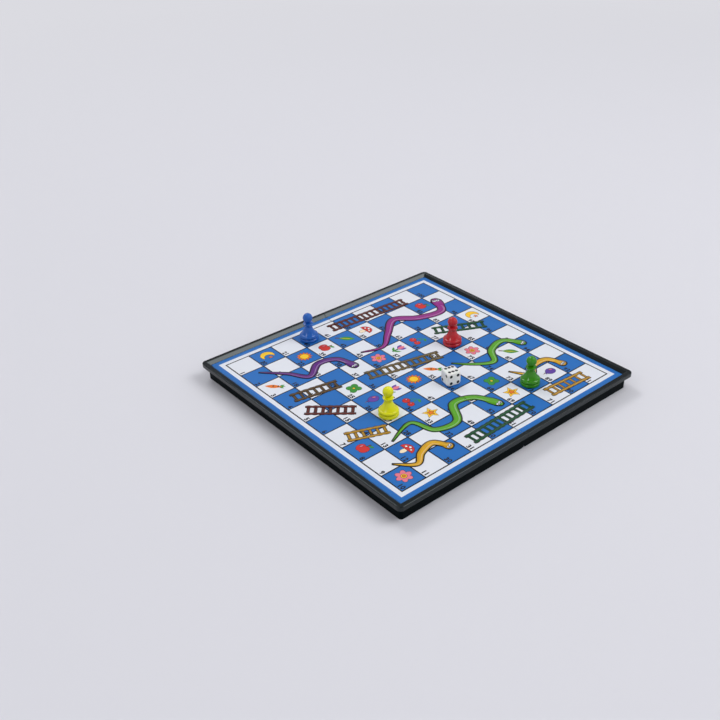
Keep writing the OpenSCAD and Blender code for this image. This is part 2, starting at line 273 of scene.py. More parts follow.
class PieceSettings(bpy.types.PropertyGroup):
    """Colours of the pawns and the die."""

    blue: colour("Blue", "Blue pawn", 26, 92, 178)
    red: colour("Red", "Red pawn", 184, 32, 40)
    green: colour("Green", "Green pawn", 50, 134, 4)
    yellow: colour("Yellow", "Yellow pawn", 224, 224, 0)
    seam: length("Seam", "Width of the mould seam of a pawn", 0.00016)
    die: colour("Die", "Body of the die", 238, 238, 234)
    pips: colour("Pips", "Paint in the pips", 14, 14, 16)


class CaseSettings(bpy.types.PropertyGroup):
    """Finish of the trays and of the metal in them."""

    plastic: colour("Plastic", "Black plastic of the trays", 4, 12, 14)
    # Lighter colour of the tray edges: partly wear, partly a painted highlight along them
    worn: colour("Worn plastic", "Plastic where edges are rubbed", 80, 96, 100)
    gleam: colour("Gleam", "Tint of the light that the black plastic throws back", 240, 252, 255)
    wall_rough: share("Wall roughness", "Roughness of the walls", 0.42)
    lip_rough: share("Lip roughness", "Roughness of the lip", 0.15)
    wall_gloss: share("Wall gloss", "Specular level of the walls", 0.03)
    lip_gloss: share("Lip gloss", "Specular level of the lip", 0.42)
    edge: length("Edge", "Rounding of the moulded edges", 0.0004)
    lip: length("Lip", "Height of the lip round the printed face", 0.0036)
    steel: colour("Steel", "Sheets and pins", 150, 154, 160)
    nickel: colour("Nickel", "Plating of the closure magnets", 196, 198, 202)
    ferrite: colour("Ferrite", "Magnets in the pawns", 58, 59, 61)
    wall: length("Wall", "Outer edge of the lip to the hollow of a tray", 0.0059)
    fold_wall: length("Fold wall", "Thickness of the wall along the fold", 0.003)
    panel: length("Panel", "Thickness of the panel under the steel sheet", 0.002)
    cells_across: number("Cells across", "Cells between ribs along the fold", 6)
    cells_deep: number("Cells deep", "Cells between ribs away from the fold", 3)
    mark: length("Mark", "Diameter of an ejector mark", 0.005)
    mark_rise: length("Mark rise", "Rise of an ejector mark", 0.00012)


class StageSettings(bpy.types.PropertyGroup):
    """Camera, light and floor."""

    azimuth: angle("Azimuth", "Turn of the camera round the board", 48.398)
    elevation: angle("Elevation", "Height of the camera over the horizon", 33.227)
    roll: angle("Roll", "Turn of the camera about its own axis", -0.547)
    distance: length("Distance", "Camera to the middle of the printed face", 0.7633)
    slide_right: length("Slide right", "Shift of the camera to its right", 0.000334)
    slide_up: length("Slide up", "Shift of the camera upwards", -0.0152)
    lens: FloatProperty(name="Lens", description="Focal length in mm", default=46.76, unit="CAMERA")
    shift_x: FloatProperty(name="Shift X", description="Sideways shift of the frame", default=-0.0764)
    shift_y: FloatProperty(name="Shift Y", description="Upward shift of the frame", default=0.0389)
    floor: colour("Floor", "Colour of the floor", 219, 219, 225)
    floor_size: length("Floor size", "Width of the floor", 6.0)
    clear: length("Clear", "Distance within which the floor shows its own light and shade", 0.45)
    fade: length("Fade", "Distance past which the floor runs evenly into the sky", 1.6)
    ceiling: share("Ceiling", "Light from above as a share of the light from the walls", 0.27)
    overhead: power("Overhead", "Light of the overhead panel", 150.0)
    front: power("Front", "Light of the panel in front", 10.0)
    left: power("Left", "Light of the panel at the left", 22.0)
    right: power("Right", "Light of the panel at the right", 36.0)


SETTINGS = {
    "board_print": PrintSettings,
    "board_ladders": LadderSettings,
    "board_snakes": SnakeSettings,
    "board_pieces": PieceSettings,
    "board_case": CaseSettings,
    "board_stage": StageSettings,
}


# Node helpers


def put(node, socket, value):
    """Links an output to an input, or sets the input's own value."""
    target = node.inputs[socket]
    if isinstance(value, bpy.types.NodeSocket):
        node.id_data.links.new(value, target)
    else:
        target.default_value = value


def add(tree, kind, inputs=None, **settings):
    """Adds a node with its settings and inputs, and returns its outputs."""
    node = tree.nodes.new(kind)
    for name, value in settings.items():
        setattr(node, name, value)
    for socket, value in (inputs or {}).items():
        put(node, socket, value)
    return node.outputs


def made(tree, kind, inputs=None, **settings):
    """First output of a new node."""
    return add(tree, kind, inputs, **settings)[0]


def math_of(tree, operation, first, second=0.0):
    """Output of one math node."""
    return made(tree, "ShaderNodeMath", {0: first, 1: second}, operation=operation)


def times(tree, first, second):
    """Product of two values."""
    return math_of(tree, "MULTIPLY", first, second)


def spread(tree, value, low, high, start=0.0, end=1.0):
    """Output that runs from low to high as value runs from start to end."""
    inputs = {"Value": value, "From Min": start, "From Max": end, "To Min": low, "To Max": high}
    return made(tree, "ShaderNodeMapRange", inputs)


def part(tree, vector, axis):
    """One part of a vector: X, Y or Z."""
    return add(tree, "ShaderNodeSeparateXYZ", {"Vector": vector})[axis]


# Materials


class Finish(NamedTuple):
    """Surface with patches of more and less gloss and with fine pits: sizes in metres, counts per metre."""

    rough: tuple
    patches: float
    pits: float
    depth: float
    specular: float = 0.5
    patch_detail: float = 3.0
    pit_detail: float = 2.0


LAMINATE = Finish(rough=(0.34, 0.46), patches=70.0, pits=900.0, depth=0.000004, specular=0.2)
PAWN_GLOSS = Finish(rough=(0.12, 0.18), patches=260.0, pits=420.0, depth=0.000012, specular=0.45)
DIE_POLISH = Finish(rough=(0.14, 0.24), patches=300.0, pits=500.0, depth=0.000008)
PIP_PAINT = Finish(rough=(0.3, 0.5), patches=900.0, pits=1500.0, depth=0.00001)
LINK_WAX = Finish(rough=(0.38, 0.55), patches=240.0, pits=1600.0, depth=0.000006)
FERRITE = Finish(
    rough=(0.5, 0.75), patches=800.0, pits=3000.0, depth=0.00002, patch_detail=5.0, pit_detail=4.0,
)

# The trays' roughness is set by height, and their patches only add to it or take from it
TRAY_GRAIN = Finish(rough=(-0.04, 0.04), patches=55.0, pits=2200.0, depth=0.000004, patch_detail=4.0)

# Edges of the trays, lighter partly from wear and partly from a painted highlight: spots per metre,
# and the cosine between the rounded and the flat normal where the lighter colour is full and where it ends
RUBBED_AND_HIGHLIT_SPOTS = 160.0
RUBBED_AND_HIGHLIT_FACING = (0.8, 0.99)

# Values between which most of a noise lies, factors of a metal's roughness at these, and the rise of a
# pawn's mould seam
NOISE_RANGE = (0.3, 0.7)
METAL_ROUGH = (0.8, 1.2)
SEAM_RISE = 0.00003


def new_material(name):
    """Material with a Principled shader: the material, its nodes and the shader."""
    material = bpy.data.materials.new(name)
    material.use_nodes = True
    tree = material.node_tree
    return material, tree, tree.nodes["Principled BSDF"]


def object_place(tree, centre=(0.0, 0.0, 0.0), stretch=(1.0, 1.0, 1.0)):
    """Object coordinates about a centre, stretched along the axes."""
    coordinates = add(tree, "ShaderNodeTexCoord")["Object"]
    moved = made(tree, "ShaderNodeVectorMath", {0: coordinates, 1: centre}, operation="SUBTRACT")
    return made(tree, "ShaderNodeVectorMath", {0: moved, 1: stretch}, operation="MULTIPLY")


def noise(tree, place, per_metre, detail=2.0):
    """Noise with so many features in a metre."""
    return made(tree, "ShaderNodeTexNoise", {"Vector": place, "Scale": per_metre, "Detail": detail})


def bump(tree, height, depth, normal=None):
    """Normal of a surface raised by height times depth, in metres."""
    inputs = {"Height": height, "Distance": depth}
    if normal is not None:
        inputs["Normal"] = normal
    return made(tree, "ShaderNodeBump", inputs)


def finished(name, paint, finish, centre=(0.0, 0.0, 0.0), seam=None):
    """Material of one colour with a finish, and with a faint mould seam through its centre if asked."""
    material, tree, shader = new_material(name)
    place = object_place(tree, centre)
    patches = noise(tree, place, finish.patches, finish.patch_detail)
    normal = bump(tree, noise(tree, place, finish.pits, finish.pit_detail), finish.depth)
    if seam is not None:
        across = math_of(tree, "ABSOLUTE", part(tree, place, "Y"))
        normal = bump(tree, spread(tree, across, 1.0, 0.0, 0.0, seam), SEAM_RISE, normal)
    put(shader, "Base Color", paint)
    put(shader, "Specular IOR Level", finish.specular)
    put(shader, "Roughness", spread(tree, patches, *finish.rough, *NOISE_RANGE))
    put(shader, "Normal", normal)
    return material


def die_plastic(name, paint):
    """Polished white plastic that lets a little light in."""
    material = finished(name, paint, DIE_POLISH)
    shader = material.node_tree.nodes["Principled BSDF"]
    put(shader, "Subsurface Weight", 0.08)
    put(shader, "Subsurface Scale", 0.001)
    return material


def tray_plastic(name, case, lip_z):
    """Black plastic: dull on the walls, smoother on the lip, with wear and painted highlight on its edges.
    """
    material, tree, shader = new_material(name)
    place = object_place(tree)
    rounded = made(tree, "ShaderNodeBevel", {"Radius": case.edge}, samples=4)
    flat = add(tree, "ShaderNodeNewGeometry")["Normal"]
    facing = add(tree, "ShaderNodeVectorMath", {0: rounded, 1: flat}, operation="DOT_PRODUCT")["Value"]
    edges = spread(tree, facing, 1.0, 0.0, *RUBBED_AND_HIGHLIT_FACING)
    # Painted highlight and wear: the base colour turns lighter along the edges, in spots
    rubbed_and_highlit = times(tree, edges, noise(tree, place, RUBBED_AND_HIGHLIT_SPOTS, 4.0))
    shades = {"Factor": rubbed_and_highlit, "A": case.plastic, "B": case.worn}
    put(shader, "Base Color", add(tree, "ShaderNodeMix", shades, data_type="RGBA")[2])
    upper = spread(tree, part(tree, place, "Z"), 0.0, 1.0, lip_z - case.edge, lip_z)
    patches = noise(tree, place, TRAY_GRAIN.patches, TRAY_GRAIN.patch_detail)
    patches = spread(tree, patches, *TRAY_GRAIN.rough, *NOISE_RANGE)
    rough = spread(tree, upper, case.wall_rough, case.lip_rough)
    put(shader, "Roughness", math_of(tree, "ADD", rough, patches))
    put(shader, "Specular IOR Level", spread(tree, upper, case.wall_gloss, case.lip_gloss))
    put(shader, "Specular Tint", case.gleam)
    put(shader, "Normal", bump(tree, noise(tree, place, TRAY_GRAIN.pits), TRAY_GRAIN.depth, rounded))
    return material


def metal(name, paint, rough, stretch, per_metre, depth):
    """Metal with marks drawn out along its axes."""
    material, tree, shader = new_material(name)
    marks = noise(tree, object_place(tree, stretch=stretch), per_metre, 4.0)
    put(shader, "Base Color", paint)
    put(shader, "Metallic", 1.0)
    low, high = (rough * factor for factor in METAL_ROUGH)
    put(shader, "Roughness", spread(tree, marks, low, high, *NOISE_RANGE))
    put(shader, "Normal", bump(tree, marks, depth))
    return material


def two_inks(name, plain, detail, factor, addend):
    """Ink of a plain colour, and a lighter ink for a detail in it."""
    light = (*(min(1.0, value * factor + addend) for value in plain[:3]), 1.0)
    return finished(name, plain, LAMINATE), finished(f"{name}_{detail}", light, LAMINATE)


def dress(node, material):
    """Gives a carried-over node its material."""
    slots = frame["nodes"][node].material_slots
    if not slots:
        raise RuntimeError(node + " has no material slot")
    for slot in slots:
        slot.material = material


# Geometry node trees


def new_tree(name, **inputs):
    """Geometry tree with inputs by their kind: the tree, what it is given and its output node."""
    tree = bpy.data.node_groups.new(name, "GeometryNodeTree")
    tree.interface.new_socket("Geometry", in_out="INPUT", socket_type="NodeSocketGeometry")
    for kind, sockets in inputs.items():
        for socket in sockets:
            tree.interface.new_socket(socket, in_out="INPUT", socket_type="NodeSocket" + kind)
    tree.interface.new_socket("Geometry", in_out="OUTPUT", socket_type="NodeSocketGeometry")
    return tree, add(tree, "NodeGroupInput"), tree.nodes.new("NodeGroupOutput")


def joined(tree, *shapes):
    """Output of all shapes together."""
    node = tree.nodes.new("GeometryNodeJoinGeometry")
    for shape in shapes:
        put(node, "Geometry", shape)
    return node.outputs[0]


def inked(tree, shape, material):
    """Shape as a real mesh with its ink."""
    real = made(tree, "GeometryNodeRealizeInstances", {"Geometry": shape})
    return made(tree, "GeometryNodeSetMaterial", {"Geometry": real, "Material": material})


def film(tree, given, flat, level, ink):
    """Closed film of a given ink from the sheet up to a level, out of a flat shape at height zero."""
    rise = times(tree, given["Step"], level)
    up = made(tree, "ShaderNodeCombineXYZ", {"Z": math_of(tree, "ADD", given["Base"], rise)})
    real = made(tree, "GeometryNodeRealizeInstances", {"Geometry": flat})
    top = made(tree, "GeometryNodeSetPosition", {"Geometry": real, "Offset": up})
    down = {"Mesh": top, "Offset": (0.0, 0.0, -1.0), "Offset Scale": rise, "Individual": False}
    under = made(tree, "GeometryNodeExtrudeMesh", down, mode="FACES")
    under = made(tree, "GeometryNodeFlipFaces", {"Mesh": under})
    closed = {"Geometry": joined(tree, top, under), "Distance": FILM_GAP}
    return inked(tree, made(tree, "GeometryNodeMergeByDistance", closed), given[ink])


def ribbon(tree, path, left, right, scale):
    """Flat ribbon along a path, between two distances from it that are scaled along the way."""
    start, end = (made(tree, "ShaderNodeCombineXYZ", {"X": side}) for side in (left, right))
    profile = made(tree, "GeometryNodeCurvePrimitiveLine", {"Start": start, "End": end})
    return made(tree, "GeometryNodeCurveToMesh", {"Curve": path, "Profile Curve": profile, "Scale": scale})


def stretch_of(tree, path, start, end):
    """Stretch of a path between two lengths along it."""
    return made(tree, "GeometryNodeTrimCurve", {"Curve": path, 4: start, 5: end}, mode="LENGTH")


def shortened(tree, path, less):
    """Path without a length at its start and at its end."""
    whole = made(tree, "GeometryNodeSplineLength")
    return stretch_of(tree, path, less, math_of(tree, "SUBTRACT", whole, less))


def level_path(tree, edges, count, smooth):
    """Path through a chain of edges, evenly divided and level across."""
    path = made(tree, "GeometryNodeMeshToCurve", {"Mesh": edges})
    if smooth:
        path = made(tree, "GeometryNodeCurveSplineType", {"Curve": path}, spline_type="CATMULL_ROM")
    path = made(tree, "GeometryNodeResampleCurve", {"Curve": path, "Count": count}, mode="COUNT")
    return made(tree, "GeometryNodeSetCurveNormal", {"Curve": path}, mode="Z_UP")


def copies(tree, points, shape, inputs=None):
    """Copies of a shape on points."""
    every = {"Points": points, "Instance": shape, **(inputs or {})}
    return made(tree, "GeometryNodeInstanceOnPoints", every)


def copies_along(tree, points, shape):
    """Copies of a shape on the points of a path, turned to lie along it."""
    turn = made(tree, "FunctionNodeAlignRotationToVector", {"Vector": points["Tangent"]}, axis="X")
    return copies(tree, points["Points"], shape, {"Rotation": turn})


def ladder_tree():
    """Tree that prints a ladder along an edge: rungs first, then the rails over them."""
    tree, given, result = new_tree(
        "Printed ladder",
        Float=("Width", "Rail", "Rung", "Pitch", "Overhang", "Outline", "Grain", "Knot", "Base", "Step"),
        Material=("Line Ink", "Wood Ink", "Grain Ink"),
    )
    outline, pitch = given["Outline"], given["Pitch"]
    path = level_path(tree, given["Geometry"], LADDER_POINTS, smooth=False)

    half_pitch = times(tree, pitch, 0.5)
    spaced = {"Curve": shortened(tree, path, half_pitch), "Length": pitch}
    points = add(tree, "GeometryNodeCurveToPoints", spaced, mode="LENGTH")
    reach = math_of(tree, "ADD", given["Width"], times(tree, given["Overhang"], 2.0))
    line = times(tree, outline, 2.0)
    prints = []
    for level, grown, ink in ((RUNG_EDGE_LEVEL, line, "Line Ink"), (RUNG_LEVEL, 0.0, "Wood Ink")):
        rung = made(tree, "GeometryNodeMeshGrid", {
            "Size X": math_of(tree, "ADD", given["Rung"], grown),
            "Size Y": math_of(tree, "ADD", reach, grown),
            "Vertices X": 2, "Vertices Y": 2,
        })
        prints.append(film(tree, given, copies_along(tree, points, rung), level, ink))

    along = add(tree, "GeometryNodeSplineParameter")["Length"]
    phase = times(tree, math_of(tree, "DIVIDE", along, pitch), math.tau)
    swell = times(tree, math_of(tree, "COSINE", phase), given["Knot"])
    swell = math_of(tree, "SUBTRACT", 1.0, swell)
    half_rail, half_grain = (times(tree, given[name], 0.5) for name in ("Rail", "Grain"))
    across = add(tree, "GeometryNodeInputNormal")["Normal"]
    for side in (-0.5, 0.5):
        aside = {0: across, "Scale": times(tree, given["Width"], side)}
        shift = made(tree, "ShaderNodeVectorMath", aside, operation="SCALE")
        rail = made(tree, "GeometryNodeSetPosition", {"Geometry": path, "Offset": shift})
        layers = (
            (rail, math_of(tree, "ADD", half_rail, outline), RAIL_EDGE_LEVEL, "Line Ink"),
            (shortened(tree, rail, outline), half_rail, RAIL_LEVEL, "Wood Ink"),
            (shortened(tree, rail, half_pitch), half_grain, GRAIN_LEVEL, "Grain Ink"),
        )
        for way, half, level, ink in layers:
            flat = ribbon(tree, way, times(tree, half, -1.0), half, swell)
            prints.append(film(tree, given, flat, level, ink))
    put(result, "Geometry", joined(tree, *prints))
    return tree


def snake_tree():
    """Tree that prints a snake along a chain of edges from its head to its tail."""
    tree, given, result = new_tree(
        "Printed snake",
        Float=("Width", "Outline", "Eye", "Base", "Step"),
        Material=("Line Ink", "Skin Ink", "Streak Ink", "Eye Ink"),
    )
    outline, width, eye = given["Outline"], given["Width"], given["Eye"]
    path = level_path(tree, given["Geometry"], SNAKE_POINTS, smooth=True)
    taper = tree.nodes.new("ShaderNodeFloatCurve")
    put(taper, "Value", add(tree, "GeometryNodeSplineParameter")["Factor"])
    points = taper.mapping.curves[0].points
    points[0].location, points[1].location = SNAKE_TAPER_SHARES[0], SNAKE_TAPER_SHARES[-1]
    for place in SNAKE_TAPER_SHARES[1:-1]:
        points.new(*place)
    taper.mapping.update()
    half = times(tree, times(tree, width, 0.5), taper.outputs["Value"])
    grown = math_of(tree, "ADD", half, outline)
    body = shortened(tree, path, outline)
    back = shortened(tree, path, times(tree, width, STREAK_INSET))
    layers = (
        (path, (-1.0, 1.0), grown, SNAKE_EDGE_LEVEL, "Line Ink"),
        (body, (-1.0, 1.0), half, SKIN_LEVEL, "Skin Ink"),
        (back, STREAK_EDGES, half, STREAK_LEVEL, "Streak Ink"),
    )
    prints = []
    for way, edges, scale, level, ink in layers:
        prints.append(film(tree, given, ribbon(tree, way, *edges, scale), level, ink))

    inset = times(tree, width, EYE_INSET)
    brow = stretch_of(tree, path, inset, times(tree, inset, BROW_END))
    spot = add(tree, "GeometryNodeCurveToPoints", {"Curve": brow, "Count": 1}, mode="COUNT")
    aside = times(tree, eye, EYE_SIDE)
    for level, size, ahead, ink in EYE_DISCS:
        round_of = {"Vertices": 20, "Radius": times(tree, eye, size)}
        disc = made(tree, "GeometryNodeMeshCircle", round_of, fill_type="NGON")
        pair = []
        for side in (-1.0, 1.0):
            place = {"X": times(tree, eye, ahead), "Y": times(tree, aside, side)}
            offset = made(tree, "ShaderNodeCombineXYZ", place)
            pair.append(made(tree, "GeometryNodeTransform", {"Geometry": disc, "Translation": offset}))
        eyes = copies_along(tree, spot, joined(tree, *pair))
        prints.append(film(tree, given, eyes, level, ink))
    put(result, "Geometry", joined(tree, *prints))
    return tree


def stamp_tree(inks):
    """Tree that stamps one of several shapes on each point, and inks it by the ink number of its faces."""
    tree, given, result = new_tree("Stamps on squares", Collection=("Shapes",))
    shapes = made(tree, "GeometryNodeCollectionInfo", {
        "Collection": given["Shapes"], "Separate Children": True, "Reset Children": True,
    })
    kind, ink = (
        made(tree, "GeometryNodeInputNamedAttribute", {"Name": name}, data_type="INT")
        for name in ("kind", "ink")
    )
    stamps = copies(tree, given["Geometry"], shapes, {"Pick Instance": True, "Instance Index": kind})
    real = made(tree, "GeometryNodeRealizeInstances", {"Geometry": stamps})
    for place, material in enumerate(inks):
        chosen = made(tree, "FunctionNodeCompare", {2: ink, 3: place}, data_type="INT", operation="EQUAL")
        dipped = {"Geometry": real, "Selection": chosen, "Material": material}
        real = made(tree, "GeometryNodeSetMaterial", dipped)
    put(result, "Geometry", real)
    return tree


def mark_tree():
    """Tree that puts a low round ejector mark in the middle of each cell of a panel."""
    tree, given, result = new_tree("Ejector marks", Float=("Diameter", "Rise"), Material=("Plastic",))
    sizes = {"Vertices": 32, "Radius": times(tree, given["Diameter"], 0.5), "Depth": given["Rise"]}
    disc = made(tree, "GeometryNodeMeshCylinder", sizes)
    put(result, "Geometry", inked(tree, copies(tree, given["Geometry"], disc), given["Plastic"]))
    return tree


def linked(name, data):
    """New object in the scene."""
    item = bpy.data.objects.new(name, data)
    bpy.context.scene.collection.objects.link(item)
    return item


def taken_mesh(holder):
    """Plain mesh of an object as it comes out, in place of the object."""
    depsgraph = bpy.context.evaluated_depsgraph_get()
    mesh = bpy.data.meshes.new_from_object(holder.evaluated_get(depsgraph), depsgraph=depsgraph)
    bpy.data.objects.remove(holder)
    return mesh


def grown_mesh(tree, source, values):
    """Runs a tree on a mesh and returns the result as a plain mesh."""
    holder = linked(tree.name, source)
    modifier = holder.modifiers.new(tree.name, "NODES")
    modifier.node_group = tree
    for item in tree.interface.items_tree:
        if item.in_out == "INPUT" and item.name in values:
            modifier[item.identifier] = values[item.name]
    mesh = taken_mesh(holder)
    if not mesh.polygons:
        raise RuntimeError(tree.name + " made no faces")
    return mesh


# Meshes and pieces


def board_point(settings, column, row):
    """Point on the board, counted in squares from the corner of the first square."""
    half = SQUARES / 2
    return Vector(((column - half) * settings.square, (row - half) * settings.square, 0.0))


def square_point(settings, square, right, up):
    """Point in a square, in shares of it from its lower left corner. Squares are counted to and fro."""
    row, step = divmod(square - 1, SQUARES)
    column = step if row % 2 == 0 else SQUARES - 1 - step
    return board_point(settings, column + right, row + up)


def paper_z(settings):
    """Height of the sheet under all layers of ink."""
    return SHEET_TOP - INK_LEVELS * settings.ink_step


def points_mesh(name, points, edges=(), faces=()):
    """Mesh of points, and of edges and faces between them."""
    mesh = bpy.data.meshes.new(name)
    mesh.from_pydata(points, edges, faces)
    return mesh


def chain(name, points):
    """Mesh of edges from point to point."""
    return points_mesh(name, points, [(i, i + 1) for i in range(len(points) - 1)])


def gather(meshes):
    """One editable mesh of several, and the materials that its faces count in."""
    whole, materials = bmesh.new(), []
    for mesh in meshes:
        first = len(whole.faces)
        whole.from_mesh(mesh)
        whole.faces.ensure_lookup_table()
        for material in mesh.materials:
            if material not in materials:
                materials.append(material)
        places = [materials.index(material) for material in mesh.materials]
        for face in whole.faces[first:]:
            face.material_index = places[face.material_index]
    return whole, materials


def boundary(shape):
    """Edges of a mesh that only one face has."""
    return [edge for edge in shape.edges if edge.is_boundary]


def cut_at_fold(shape, half):
    """Keeps what lies on one half of the board, and closes it along the cut."""
    geometry = [*shape.verts, *shape.edges, *shape.faces]
    bmesh.ops.bisect_plane(
        shape, geom=geometry, dist=CUT_GAP, plane_co=(0.0, FOLD_EDGE[half], 0.0),
        plane_no=(0.0, -FOLD_SIDE[half], 0.0), clear_outer=True,
    )
    for face in bmesh.ops.holes_fill(shape, edges=boundary(shape))["faces"]:
        beside = [other for edge in face.edges for other in edge.link_faces if other is not face]
        face.material_index = beside[0].material_index


def plain_mesh(name, shape):
    """Mesh out of one under construction, with its faces turned outwards."""
    bmesh.ops.recalc_face_normals(shape, faces=shape.faces)
    mesh = bpy.data.meshes.new(name)
    shape.to_mesh(mesh)
    shape.free()
    return mesh


def make_piece(name, shape, materials, body):
    """Turns a mesh under construction into a finished piece that rides on a body."""
    mesh = plain_mesh(name, shape)
    for material in materials:
        mesh.materials.append(material)
    piece = linked(name, mesh)
    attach(piece, body)
    return piece


def print_on_halves(name, meshes):
    """Splits printed shapes at the fold, one piece for each half."""
    for half in HALVES:
        shape, materials = gather(meshes)
        cut_at_fold(shape, half)
        make_piece(name + "_" + half, shape, materials, "board_" + half)


def prism(shape, outline, top, ink):
    """Adds a closed prism over an outline to a mesh, with the number of its ink on its faces."""
    layer = shape.faces.layers.int.get("ink") or shape.faces.layers.int.new("ink")
    lower, upper = ([shape.verts.new((x, y, z)) for x, y in outline] for z in (0.0, top))
    faces = [shape.faces.new(upper), shape.faces.new(lower[::-1])]
    for i in range(len(outline)):
        faces.append(shape.faces.new((lower[i - 1], lower[i], upper[i], upper[i - 1])))
    for face in faces:
        face[layer] = ink


# Outlines of the small pictures, in shares of a picture's width


def ellipse(x, y, across, up, turn=0.0, count=24):
    """Ellipse about a point, with its two radii and a turn in degrees."""
    cosine, sine = math.cos(math.radians(turn)), math.sin(math.radians(turn))
    points = []
    for i in range(count):
        a, b = across * math.cos(math.tau * i / count), up * math.sin(math.tau * i / count)
        points.append((x + a * cosine - b * sine, y + a * sine + b * cosine))
    return points


def dome(x, y, across, up, count=24):
    """Upper half of an ellipse."""
    return ellipse(x, y, across, up, count=count)[:count // 2 + 1]


def star(x, y, count, outer, inner):
    """Star with so many points, one of them at the top."""
    points = []
    for i in range(2 * count):
        radius = inner if i % 2 else outer
        a = math.radians(90.0) + math.pi * i / count
        points.append((x + radius * math.cos(a), y + radius * math.sin(a)))
    return points


def blade(start, end, width, bend=0.0, count=9):
    """Leaf shape from one tip to the other, run clockwise and bent sideways by a share of its length."""
    along = Vector(end) - Vector(start)
    side = Vector((-along.y, along.x))
    points = []
    for direction in (1, -1):
        for i in range(count):
            t = i / count if direction > 0 else 1 - i / count
            swell = math.sin(math.pi * t) * (direction * width / along.length / 2 + bend)
            points.append(tuple(Vector(start) + along * t + side * swell))
    return points


def crescent(x, y, radius, bite, tip_degrees=50.0, count=20):
    """Moon with its hollow side to the right."""
    tip = math.radians(tip_degrees)
    outer = [tip + (math.tau - 2 * tip) * i / count for i in range(count + 1)]
    points = [(x + radius * math.cos(a), y + radius * math.sin(a)) for a in outer]
    horn, rise = x + radius * math.cos(tip), radius * math.sin(tip)
    for i in range(1, count):
        a = -math.pi / 2 + math.pi * i / count
        points.append((horn - bite * math.cos(a), y + rise * math.sin(a)))
    return points


def bar(start, end, width):
    """Straight stroke between two points."""
    along = (Vector(end) - Vector(start)).normalized()
    side = Vector((-along.y, along.x)) * width / 2
    return [tuple(Vector(p) + s) for p, s in ((start, -side), (end, -side), (end, side), (start, side))]


def ring_of(count, reach, across, up, first=90.0):
    """Ellipses set round a middle, each pointing away from it."""
    shapes = []
    for i in range(count):
        turn = first + 360.0 * i / count
        x, y = reach * math.cos(math.radians(turn)), reach * math.sin(math.radians(turn))
        shapes.append(ellipse(x, y, across, up, turn, count=16))
    return shapes


def outset(outline, width, sharpest=0.3, farthest=2.0):
    """Outline moved to the right of its run by a width, and by no more than so many at its sharp corners.

    That is outwards where the outline runs counter-clockwise, and inwards on the blades.
    """
    count = len(outline)
    points = []
    for i in range(count):
        before, here, after = (Vector(outline[(i + k) % count]) for k in (-1, 0, 1))
        first, second = (here - before).normalized(), (after - here).normalized()
        normal = Vector((first.y + second.y, -first.x - second.x))
        normal.normalize()
        corner = max(normal.dot(Vector((first.y, -first.x))), sharpest)
        points.append(tuple(here + normal * min(width / corner, farthest * width)))
    return points


